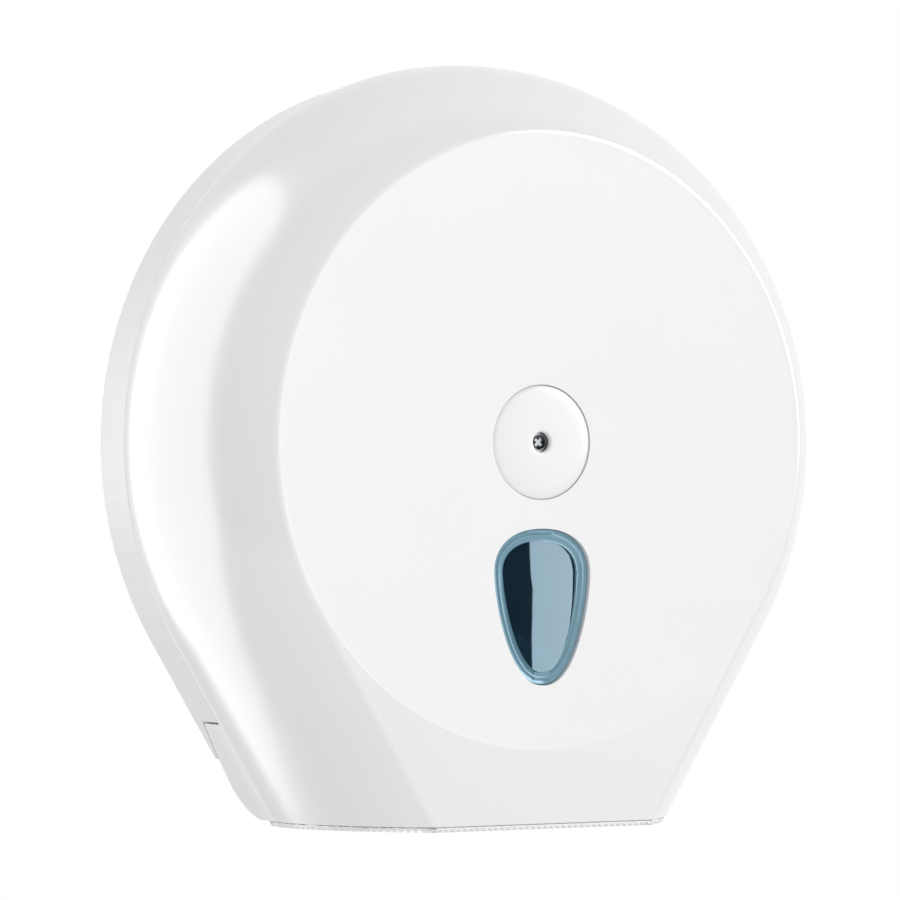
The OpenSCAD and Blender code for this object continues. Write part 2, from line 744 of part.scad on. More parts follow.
// Places of the strip's screws: three in front and one on each side, seats on the strip's leg
module strip_screw_places() {
    seat = strip_inner + strip_t;
    for (x = [-1, 0, 1]) translate([x * strip_screw_spread, -depth + seat, strip_screw_z])
        rotate([-90, 0, 0]) children();
    lean = cover_slope(strip_screw_depth);
    side_seat = cover_radius(strip_screw_depth) - (seat + 0.15) * sqrt(1 + lean * lean);
    side_run = (-strip_screw_z - side_seat * sin(side_angle)) / cos(side_angle);
    for (side = [0, 1]) mirror([side, 0, 0]) from_wall(strip_screw_depth) rotate([0, 0, -side_angle])
        translate([side_seat, -side_run, 0]) rotate([0, atan(lean) - 90, 0]) children();
}

module tear_strip_screws() {
    color([0.75, 0.76, 0.78]) strip_screw_places()
        pan_screw(strip_screw_r, strip_t + strip_screw_l, strip_screw_head_r, strip_screw_head_h);
}

backplate();
spindle_post();
spindle_screws();
brake_washer();
roll_hub();
core_adapter();
hub_retainer();
lock_striker();
hinge_pin_left();
hinge_pin_right();
cover_shell();
window_lens();
lens_frame();
lens_screws();
lock_plate();
lock_housing();
housing_screws();
lock_barrel();
lock_cam();
cam_screw();
detent_spring();
tear_strip();
tear_strip_screws();
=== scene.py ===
"""Jumbo toilet roll dispenser: the looks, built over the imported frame."""

import json
import logging
import math
from collections.abc import Callable, Sequence
from dataclasses import dataclass, field
from enum import Enum

import bmesh
import bpy
from mathutils import Matrix, Vector


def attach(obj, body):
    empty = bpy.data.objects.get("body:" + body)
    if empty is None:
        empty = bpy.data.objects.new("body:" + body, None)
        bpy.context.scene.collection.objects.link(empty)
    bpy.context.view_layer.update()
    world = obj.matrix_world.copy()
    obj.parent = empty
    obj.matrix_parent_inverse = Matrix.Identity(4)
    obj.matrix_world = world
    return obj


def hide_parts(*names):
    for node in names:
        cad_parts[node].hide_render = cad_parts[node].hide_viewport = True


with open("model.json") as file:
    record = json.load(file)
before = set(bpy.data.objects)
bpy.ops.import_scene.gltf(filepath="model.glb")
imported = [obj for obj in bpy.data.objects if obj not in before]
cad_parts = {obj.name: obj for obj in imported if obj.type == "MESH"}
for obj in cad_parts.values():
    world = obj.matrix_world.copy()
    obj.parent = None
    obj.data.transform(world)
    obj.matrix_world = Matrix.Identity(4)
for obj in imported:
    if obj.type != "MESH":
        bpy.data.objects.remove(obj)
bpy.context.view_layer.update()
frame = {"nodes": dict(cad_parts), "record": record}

logging.basicConfig(level=logging.INFO, format="%(message)s")
LOG = logging.getLogger("dispenser")

MM = 0.001
Point = tuple[float, float]
Point3 = tuple[float, float, float]


# ---------------------------------------------------------------- colour and nodes


def tint(code: str) -> tuple[float, float, float, float]:
    """Turns an sRGB hex code into Blender's linear colour.

    Args:
        code: Six hex digits, with or without a leading hash.

    Returns:
        Linear red, green and blue, and a full alpha.
    """
    digits = code.lstrip("#")
    channels = [int(digits[i : i + 2], 16) / 255 for i in (0, 2, 4)]
    red, green, blue = (c / 12.92 if c <= 0.04045 else ((c + 0.055) / 1.055) ** 2.4 for c in channels)
    return red, green, blue, 1.0


def add_node(
    tree: bpy.types.NodeTree,
    kind: str,
    settings: dict[str, object] | None = None,
    inputs: dict[str, object] | None = None,
    links: dict[str, bpy.types.NodeSocket] | None = None,
) -> bpy.types.Node:
    """Adds one shader node with its settings, socket values and links.

    Args:
        tree: The node tree it goes into.
        kind: Blender's node type.
        settings: Attributes of the node itself.
        inputs: Socket values by socket name.
        links: Output sockets to join to the named inputs.

    Returns:
        The new node.
    """
    node = tree.nodes.new(kind)
    for name, value in (settings or {}).items():
        setattr(node, name, value)
    for name, value in (inputs or {}).items():
        node.inputs[name].default_value = value
    for name, socket in (links or {}).items():
        tree.links.new(socket, node.inputs[name])
    return node


def fresh_material(name: str) -> tuple[bpy.types.Material, bpy.types.NodeTree]:
    """Makes an empty node material.

    Args:
        name: The material's name.

    Returns:
        The material and its node tree, with no nodes left in it.
    """
    material = bpy.data.materials.new(name)
    material.use_nodes = True
    material.node_tree.nodes.clear()
    return material, material.node_tree


# ---------------------------------------------------------------- finishes


@dataclass(frozen=True)
class MouldedPlastic:
    """Injection-moulded plastic: an even body colour under a skin as smooth as the mould's polish.

    Attributes:
        name: What the plastic is and how its skin was made.
        colour: Body colour, sRGB hex.
        flow_colour: The faintly different colour of slow flow marks, sRGB hex.
        roughness: Roughness of the polished skin.
        orange_peel_mm: Width of one swell of the skin's waviness.
        waviness_mm: Height of that waviness.
        grain_mm: Width of one grain of a spark-eroded skin, or 0 on a polished one.
        grain_height_mm: Height of a grain.
        ior: Index of refraction.
    """

    name: str
    colour: str
    flow_colour: str
    roughness: float
    orange_peel_mm: float = 9.0
    waviness_mm: float = 0.004
    grain_mm: float = 0.0
    grain_height_mm: float = 0.0
    ior: float = 1.53

    def material(self) -> bpy.types.Material:
        """Builds the node material."""
        material, tree = fresh_material(self.name)
        place = add_node(tree, "ShaderNodeTexCoord").outputs["Object"]
        flow = add_node(
            tree, "ShaderNodeTexNoise", inputs={"Scale": 1 / (60 * MM), "Detail": 2.0}, links={"Vector": place}
        )
        body = add_node(
            tree,
            "ShaderNodeMix",
            settings={"data_type": "RGBA"},
            inputs={"A": tint(self.colour), "B": tint(self.flow_colour)},
            links={"Factor": flow.outputs["Fac"]},
        )
        # Handling leaves the skin a little less even than the mould made it.
        wear = add_node(
            tree, "ShaderNodeTexNoise", inputs={"Scale": 1 / (22 * MM), "Detail": 3.0}, links={"Vector": place}
        )
        rough = add_node(
            tree,
            "ShaderNodeMapRange",
            inputs={"To Min": self.roughness * 0.92, "To Max": self.roughness * 1.08},
            links={"Value": wear.outputs["Fac"]},
        )
        peel = add_node(
            tree,
            "ShaderNodeTexNoise",
            inputs={"Scale": 1 / (self.orange_peel_mm * MM), "Detail": 1.0},
            links={"Vector": place},
        )
        bump = add_node(
            tree,
            "ShaderNodeBump",
            inputs={"Strength": 1.0, "Distance": self.waviness_mm * MM},
            links={"Height": peel.outputs["Fac"]},
        )
        if self.grain_mm:
            grain = add_node(
                tree,
                "ShaderNodeTexVoronoi",
                inputs={"Scale": 1 / (self.grain_mm * MM)},
                links={"Vector": place},
            )
            bump = add_node(
                tree,
                "ShaderNodeBump",
                inputs={"Strength": 1.0, "Distance": self.grain_height_mm * MM},
                links={"Height": grain.outputs["Distance"], "Normal": bump.outputs["Normal"]},
            )
        shader = add_node(
            tree,
            "ShaderNodeBsdfPrincipled",
            inputs={"IOR": self.ior},
            links={
                "Base Color": body.outputs["Result"],
                "Roughness": rough.outputs["Result"],
                "Normal": bump.outputs["Normal"],
            },
        )
        add_node(tree, "ShaderNodeOutputMaterial", links={"Surface": shader.outputs["BSDF"]})
        return material


@dataclass(frozen=True)
class TintedLens:
    """Clear polycarbonate with a blue dye: glass-like, with the faint swirl of its gate.

    Attributes:
        name: What the plastic is and how its skin was made.
        colour: Colour that the dye lets through, sRGB hex.
        swirl_colour: Colour where the melt ran thinner, sRGB hex.
        roughness: Roughness of the polished skin.
        clearness: Share of the light that passes through instead of scattering.
    """

    name: str
    colour: str
    swirl_colour: str
    roughness: float
    clearness: float = 0.9

    def material(self) -> bpy.types.Material:
        """Builds the node material."""
        material, tree = fresh_material(self.name)
        place = add_node(tree, "ShaderNodeTexCoord").outputs["Object"]
        swirl = add_node(
            tree, "ShaderNodeTexNoise", inputs={"Scale": 1 / (30 * MM), "Detail": 1.0}, links={"Vector": place}
        )
        body = add_node(
            tree,
            "ShaderNodeMix",
            settings={"data_type": "RGBA"},
            inputs={"A": tint(self.colour), "B": tint(self.swirl_colour)},
            links={"Factor": swirl.outputs["Fac"]},
        )
        peel = add_node(
            tree, "ShaderNodeTexNoise", inputs={"Scale": 1 / (12 * MM), "Detail": 0.0}, links={"Vector": place}
        )
        bump = add_node(
            tree,
            "ShaderNodeBump",
            inputs={"Strength": 1.0, "Distance": 0.02 * MM},
            links={"Height": peel.outputs["Fac"]},
        )
        shader = add_node(
            tree,
            "ShaderNodeBsdfPrincipled",
            inputs={
                "IOR": 1.74,
                "Roughness": self.roughness,
                "Transmission Weight": self.clearness,
                "Specular Tint": tint("#C4E6F8"),
            },
            links={"Base Color": body.outputs["Result"], "Normal": bump.outputs["Normal"]},
        )
        add_node(tree, "ShaderNodeOutputMaterial", links={"Surface": shader.outputs["BSDF"]})
        return material


class MetalSkin(Enum):
    """How a metal piece's surface was made."""

    PLATED = "plated"
    TURNED = "turned"
    CAST = "cast"


@dataclass(frozen=True)
class Metal:
    """Small metal hardware, plated, turned or cast.

    Attributes:
        name: What the metal is and how its skin was made.
        colour: Reflected colour, sRGB hex.
        shade: Colour in the low spots of the skin, sRGB hex.
        roughness: Middle roughness.
        skin: How the surface was made.
        mark_mm: Width of one mark of that skin.
    """

    name: str
    colour: str
    shade: str
    roughness: float
    skin: MetalSkin
    mark_mm: float

    def material(self) -> bpy.types.Material:
        """Builds the node material."""
        material, tree = fresh_material(self.name)
        place = add_node(tree, "ShaderNodeTexCoord").outputs["Object"]
        # Turning marks run round the spindle's axis, so they are short along Y and long around it.
        stretch = (0.15, 1.0, 0.15) if self.skin is MetalSkin.TURNED else (1.0, 1.0, 1.0)
        mapped = add_node(tree, "ShaderNodeMapping", inputs={"Scale": stretch}, links={"Vector": place})
        marks = add_node(
            tree,
            "ShaderNodeTexNoise",
            inputs={"Scale": 1 / (self.mark_mm * MM), "Detail": 3.0},
            links={"Vector": mapped.outputs["Vector"]},
        )
        body = add_node(
            tree,
            "ShaderNodeMix",
            settings={"data_type": "RGBA"},
            inputs={"A": tint(self.shade), "B": tint(self.colour)},
            links={"Factor": marks.outputs["Fac"]},
        )
        rough = add_node(
            tree,
            "ShaderNodeMapRange",
            inputs={"To Min": self.roughness * 0.8, "To Max": self.roughness * 1.25},
            links={"Value": marks.outputs["Fac"]},
        )
        bump = add_node(
            tree,
            "ShaderNodeBump",
            inputs={"Strength": 1.0, "Distance": (0.03 if self.skin is MetalSkin.CAST else 0.006) * MM},
            links={"Height": marks.outputs["Fac"]},
        )
        shader = add_node(
            tree,
            "ShaderNodeBsdfPrincipled",
            inputs={"Metallic": 1.0},
            links={
                "Base Color": body.outputs["Result"],
                "Roughness": rough.outputs["Result"],
                "Normal": bump.outputs["Normal"],
            },
        )
        add_node(tree, "ShaderNodeOutputMaterial", links={"Surface": shader.outputs["BSDF"]})
        return material


@dataclass
class Finishes:
    """Every finish of the dispenser, made once.

    Attributes:
        by_slot: The material of each of the record's slots.
        rim: The material of the lens's thick rim: a rougher, less clear copy of the lens plastic whose paler colour is
            painted light for the light the rim scatters.
    """

    by_slot: dict[str, bpy.types.Material] = field(default_factory=dict)
    rim: bpy.types.Material | None = None

    def mix(self) -> None:
        """Makes the materials."""
        # White ABS: polished moulds give a semi-gloss skin that mirrors a lamp's edge softly.
        white = MouldedPlastic("abs_white_polished_mould", "#F0F0EF", "#EDEDED", 0.19)
        plate = MouldedPlastic("abs_white_plate_mould", "#EAEAEA", "#E6E6E7", 0.24)
        strip = MouldedPlastic("abs_white_strip_mould", "#EFEFEE", "#EBEBEC", 0.22, orange_peel_mm=5.0)
        # Grey polypropylene: a waxy, spark-eroded skin with a fine grain.
        grey = MouldedPlastic(
            "polypropylene_grey_grained", "#7B8088", "#72777F", 0.45, grain_mm=0.9, grain_height_mm=0.02, ior=1.49
        )
        pale = MouldedPlastic(
            "polypropylene_pale_grained", "#C9CBCE", "#C1C4C8", 0.42, grain_mm=0.9, grain_height_mm=0.02, ior=1.49
        )
        # Rubber: matt, with the talc haze of a stamped sheet.
        rubber = MouldedPlastic(
            "rubber_sheet_stamped", "#26262A", "#303034", 0.75, grain_mm=0.6, grain_height_mm=0.03, ior=1.5
        )
        # Blue polycarbonate: deep where the dark inside shows through. The thick rim gets a rougher, less clear copy
        # of the same plastic, and its paler colour is painted light standing in for the light the rim scatters.
        lens = TintedLens("polycarbonate_blue_polished", "#2D4E66", "#345770", 0.03)
        self.rim = TintedLens("polycarbonate_blue_rim_painted_glow", "#8FB9CA", "#9CC3D2", 0.12, 0.3).material()
        zinc = Metal("zinc_die_cast_tumbled", "#B9BBBE", "#A3A6AA", 0.34, MetalSkin.CAST, 0.7)
        screws = Metal("steel_zinc_plated", "#CDD0D4", "#B7BBC2", 0.28, MetalSkin.PLATED, 1.2)
        pins = Metal("steel_turned_ground", "#C4C6C9", "#A9ACB0", 0.26, MetalSkin.TURNED, 0.4)
        spring = Metal("spring_steel_rolled", "#8E9197", "#7A7D84", 0.32, MetalSkin.PLATED, 0.8)
        makers = {
            "white_cover": white,
            "white_plate": plate,
            "white_strip": strip,
            "blue_lens": lens,
            "grey_plastic": grey,
            "light_grey_plastic": pale,
            "rubber_washer": rubber,
            "zinc_casting": zinc,
            "zinc_screws": screws,
            "steel_pins": pins,
            "spring_steel": spring,
        }
        self.by_slot = {slot: maker.material() for slot, maker in makers.items()}

    def wear(self, piece: bpy.types.Object, slot: str) -> None:
        """Puts a slot's material on a piece.

        Args:
            piece: The piece.
            slot: The record's material slot.
        """
        piece.data.materials.clear()
        piece.data.materials.append(self.by_slot[slot])


# ---------------------------------------------------------------- modelling with operators


@dataclass
class Bench:
    """Blender's modelling operators, used on one piece at a time, in millimetres."""

    def clear(self) -> None:
        """Leaves edit mode and deselects everything."""
        if bpy.context.object and bpy.context.object.mode != "OBJECT":
            bpy.ops.object.mode_set(mode="OBJECT")
        bpy.ops.object.select_all(action="DESELECT")

    def only(self, piece: bpy.types.Object) -> None:
        """Selects one piece and makes it the active one.

        Args:
            piece: The piece.
        """
        self.clear()
        piece.select_set(True)
        bpy.context.view_layer.objects.active = piece

    def ring_ladder(self, name: str, rings: Sequence[Sequence[Point3]], closed: bool = True) -> bpy.types.Object:
        """Draws a skin through rings: a circle is laid on the first ring, extruded and set on the next ones.

        Args:
            name: The new piece's name.
            rings: Rings of the same number of points, in millimetres.
            closed: Whether each ring closes on itself.

        Returns:
            The skin, still open at both ends.
        """
        self.clear()
        count = len(rings[0])
        bpy.ops.mesh.primitive_circle_add(vertices=count, radius=1.0)
        piece = bpy.context.object
        piece.name = piece.data.name = name
        bpy.ops.object.mode_set(mode="EDIT")
        bpy.ops.mesh.select_mode(type="VERT")
        if not closed:
            bpy.ops.mesh.select_mode(type="EDGE")
            mesh = bmesh.from_edit_mesh(piece.data)
            for edge in mesh.edges:
                edge.select_set({v.index for v in edge.verts} == {0, count - 1})
            bpy.ops.mesh.delete(type="EDGE")
            bpy.ops.mesh.select_mode(type="VERT")
        bpy.ops.mesh.select_all(action="SELECT")
        for number, ring in enumerate(rings):
            if number:
                bpy.ops.mesh.extrude_region_move()
            mesh = bmesh.from_edit_mesh(piece.data)
            picked = sorted((v for v in mesh.verts if v.select), key=lambda v: v.index)
            for vert, place in zip(picked, ring, strict=True):
                vert.co = Vector(place) * MM
            bmesh.update_edit_mesh(piece.data)
        return piece

    def cap_selected(self) -> None:
        """Fills the selected ring with one face."""
        bpy.ops.mesh.edge_face_add()

    def select_where(self, piece: bpy.types.Object, test: Callable[[Vector], bool], what: str = "VERT") -> int:
        """Selects vertices, or edges and faces by their middle, that pass a test.

        Args:
            piece: The piece, in edit mode.
            test: Says whether a place, in millimetres, is picked.
            what: VERT, EDGE or FACE.

        Returns:
            How many were picked.
        """
        bpy.ops.mesh.select_mode(type=what)
        bpy.ops.mesh.select_all(action="DESELECT")
        mesh = bmesh.from_edit_mesh(piece.data)
        picked = 0
        if what == "VERT":
            for vert in mesh.verts:
                if test(vert.co / MM):
                    vert.select_set(True)
                    picked += 1
        else:
            for item in mesh.edges if what == "EDGE" else mesh.faces:
                if test(sum((v.co for v in item.verts), Vector()) / len(item.verts) / MM):
                    item.select_set(True)
                    picked += 1
        mesh.select_flush_mode()
        bmesh.update_edit_mesh(piece.data)
        return picked

    def tidy(self, gap: float = 0.002) -> None:
        """Merges doubles and turns all faces outwards; the piece is in edit mode.

        Args:
            gap: Points closer than this, in millimetres, are merged.
        """
        bpy.ops.mesh.select_all(action="SELECT")
        bpy.ops.mesh.remove_doubles(threshold=gap * MM)
        bpy.ops.mesh.normals_make_consistent(inside=False)

    def prism(self, name: str, ring: Sequence[Point3], travel: Point3) -> bpy.types.Object:
        """Makes a closed prism from a flat outline.

        Args:
            name: The new piece's name.
            ring: The outline.
            travel: How far and which way it is extruded, in millimetres.

        Returns:
            The prism.
        """
        return self.closed_ladder(name, [ring, [tuple(Vector(p) + Vector(travel)) for p in ring]])

    def closed_ladder(self, name: str, rings: Sequence[Sequence[Point3]]) -> bpy.types.Object:
        """Draws a skin through rings and closes both of its ends.

        Args:
            name: The new piece's name.
            rings: Rings of the same number of points, in millimetres.

        Returns:
            The closed piece.
        """
        piece = self.ring_ladder(name, rings)
        self.cap_selected()
        self.select_where(piece, lambda p: min((p - Vector(q)).length for q in rings[0]) < 1e-3)
        self.cap_selected()
        self.tidy()
        bpy.ops.object.mode_set(mode="OBJECT")
        return piece

    def rod(self, name: str, radius: float, start: Point3, end: Point3, sides: int = 64) -> bpy.types.Object:
        """Makes a round rod between two places.

        Args:
            name: The new piece's name.
            radius: Its radius in millimetres.
            start: One end's middle.
            end: The other end's middle.
            sides: Number of sides.

        Returns:
            The rod.
        """
        axis = (Vector(end) - Vector(start)).normalized()
        turn = axis.to_track_quat("Z", "Y")
        ring = [
            tuple(
                Vector(start)
                + turn @ Vector((radius * math.cos(math.tau * i / sides), radius * math.sin(math.tau * i / sides), 0))
            )
            for i in range(sides)
        ]
        return self.prism(name, ring, tuple(Vector(end) - Vector(start)))

    def carve(self, piece: bpy.types.Object, tool: bpy.types.Object, how: str = "DIFFERENCE") -> None:
        """Cuts, joins or trims a piece with another one, which is then thrown away.

        Args:
            piece: The piece that stays.
            tool: The piece that is used up.
            how: DIFFERENCE, UNION or INTERSECT.
        """
        self.only(piece)
        cut = piece.modifiers.new("carve", "BOOLEAN")
        cut.operation, cut.object, cut.solver = how, tool, "MANIFOLD"
        bpy.ops.object.modifier_apply(modifier=cut.name)
        bpy.data.objects.remove(tool, do_unlink=True)

    def round_edges(self, piece: bpy.types.Object, width: float, segments: int = 2, angle: float = 40.0) -> None:
        """Rounds every edge sharper than an angle.

        Args:
            piece: The piece.
            width: Width of the rounding in millimetres.
            segments: Number of steps.
            angle: Smallest angle between faces, in degrees.
        """
        self.only(piece)
        bevel = piece.modifiers.new("round", "BEVEL")
        bevel.width, bevel.segments = width * MM, segments
        bevel.limit_method, bevel.angle_limit = "ANGLE", math.radians(angle)
        bevel.use_clamp_overlap = True
        bpy.ops.object.modifier_apply(modifier=bevel.name)

    def smooth(self, piece: bpy.types.Object, angle: float = 32.0) -> None:
        """Shades a piece smooth but for its sharp edges, and weights its normals by face size.

        Args:
            piece: The piece.
            angle: Edges sharper than this stay sharp, in degrees.
        """
        self.only(piece)
        bpy.ops.object.shade_smooth_by_angle(angle=math.radians(angle))
        weigh = piece.modifiers.new("weigh", "WEIGHTED_NORMAL")
        weigh.keep_sharp = True
        bpy.ops.object.modifier_apply(modifier=weigh.name)


BENCH = Bench()


# ---------------------------------------------------------------- the body's shape


@dataclass(frozen=True)
class BodyShape:
    """The body's outline and profile, with the same sizes as the frame.

    Attributes:
        depth: Depth of the front rim from the wall.
        seam: Depth of the plate's rim.
        plate_r: Radius on the wall.
        seam_r: Radius at the seam.
        bulge_r: Largest radius.
        bulge: Depth of the largest radius.
        front_r: Radius of the front disc.
        edge_drop: Part of the shoulder's drop that falls close to the front.
        side_angle: Lean of the straight sides from upright, in degrees.
        floor: Height of the lower edge, below the axis.
        dish: Depth of the front disc's hollow.
        wall: The cover's wall.
    """

    depth: float = 112.0
    seam: float = 28.0
    plate_r: float = 175.0
    seam_r: float = 178.0
    bulge_r: float = 179.5
    bulge: float = 38.0
    front_r: float = 145.5
    edge_drop: float = 4.5
    side_angle: float = 32.0
    floor: float = -178.0
    dish: float = 3.0
    wall: float = 2.8

    def radius(self, depth: float) -> float:
        """Gives the outline's radius at a depth from the wall.

        Args:
            depth: Depth in millimetres.

        Returns:
            The radius in millimetres.
        """
        if depth <= self.seam:
            return self.plate_r + (self.seam_r - self.plate_r) * depth / self.seam
        if depth < self.bulge:
            return self.bulge_r - (self.bulge_r - self.seam_r) * ((self.bulge - depth) / (self.bulge - self.seam)) ** 2
        t = (depth - self.bulge) / (self.depth - self.bulge)
        return self.bulge_r - (self.bulge_r - self.front_r - self.edge_drop) * t**2 - self.edge_drop * t**6

    def dish_at(self, radius: float) -> float:
        """Gives how far the front disc lies behind its rim at a radius."""
        rim = self.front_r - 0.6
        return self.dish * max(0.0, 1 - (radius / rim) ** 2)

    def outline(self, radius: float, depth: float, low: float, steps: int = 122) -> list[Point3]:
        """Gives the outline at one depth: a round top on straight leaning sides, open at the bottom.

        Args:
            radius: Radius of the round part.
            depth: Depth from the wall.
            low: Height at which the sides end.
            steps: Number of steps of the round part.

        Returns:
            The outline's points from right to left over the top.
        """
        lean = math.radians(self.side_angle)
        edge = radius / math.cos(lean) + low * math.tan(lean)
        arc = [-lean + (math.pi + 2 * lean) * i / steps for i in range(steps + 1)]
        return [
            (edge, -depth, low),
            *((radius * math.cos(a), -depth, radius * math.sin(a)) for a in arc),
            (-edge, -depth, low),
        ]


BODY = BodyShape()


def fillet(before: Point, corner: Point, after: Point, radius: float, steps: int) -> list[Point]:
    """Rounds a corner of a profile.

    Args:
        before: The point before the corner.
        corner: The corner.
        after: The point after it.
        radius: Radius of the rounding.
        steps: Number of steps.

    Returns:
        The points of the rounding.
    """
    c, a, b = Vector(corner), Vector(before), Vector(after)
    u, v = (a - c).normalized(), (b - c).normalized()
    half = math.acos(max(-1.0, min(1.0, u.dot(v)))) / 2
    reach = radius / math.tan(half)
    middle = c + (u + v).normalized() * (radius / math.sin(half))
    first, last = c + u * reach - middle, c + v * reach - middle
    sweep = math.atan2(first.x * last.y - first.y * last.x, first.dot(last))
    points = []
    for i in range(steps + 1):
        w = sweep * i / steps
        points.append(
            (
                middle.x + first.x * math.cos(w) - first.y * math.sin(w),
                middle.y + first.x * math.sin(w) + first.y * math.cos(w),
            )
        )
    return points


@dataclass
class Window:
    """The level window's teardrop outline, in the plane that touches the disc at it.

    Attributes:
        width: Width at the widest level.
        up: Height above that level.
        down: Height below that level.
        drop: Distance from the axis down to that level.
    """

    width: float = 53.4
    up: float = 21.0
    down: float = 52.3
    drop: float = 61.1

    def frame(self) -> Matrix:
        """Gives the placing of the window's plane: X right, Y up, Z outwards, in millimetres."""
        rise = BODY.dish_at(self.drop - self.up) - BODY.dish_at(self.drop + self.down)
        tilt = math.atan(rise / (self.up + self.down))
        place = Matrix.Translation((0, BODY.dish_at(self.drop) - BODY.depth, -self.drop))
        return place @ Matrix.Rotation(math.pi / 2 - tilt, 4, "X")

    def ring(self, grow: float, height: float, count: int = 128) -> list[Point3]:
        """Gives the teardrop outline.

        Args:
            grow: How far it is grown outwards.
            height: Height in front of the plane.
            count: Number of points.

        Returns:
            The points in the row's frame, in millimetres.
        """
        place = self.frame()
        points = []
        for i in range(count):
            a = math.tau * i / count
            s, c = math.sin(a), math.cos(a)
            reach, power = (self.up, 2.3) if s >= 0 else (self.down, 1.55)
            x = (self.width / 2 + grow) * math.copysign(abs(c) ** (2 / 2.25), c)
            y = (reach + grow) * math.copysign(abs(s) ** (2 / power), s)
            points.append(tuple(place @ Vector((x, y, height))))
        return points

    def holds(self, x: float, y: float, grow: float) -> bool:
        """Tells whether a spot of the window's plane lies inside the teardrop.

        Args:
            x: Distance to the right of the middle.
            y: Height above the widest level.
            grow: How far the teardrop is grown outwards.

        Returns:
            True inside.
        """
        reach, power = (self.up, 2.3) if y >= 0 else (self.down, 1.55)
        return (abs(x) / (self.width / 2 + grow)) ** 2.25 + (abs(y) / (reach + grow)) ** power < 1

    def screw_spots(self) -> list[Point]:
        """Gives the places of the clamp frame's screws in the window's plane."""
        return [(self.width / 2 + 8, -6.0), (-self.width / 2 - 8, -6.0), (0.0, -self.down - 8)]


WINDOW = Window()


# ---------------------------------------------------------------- sub-assemblies


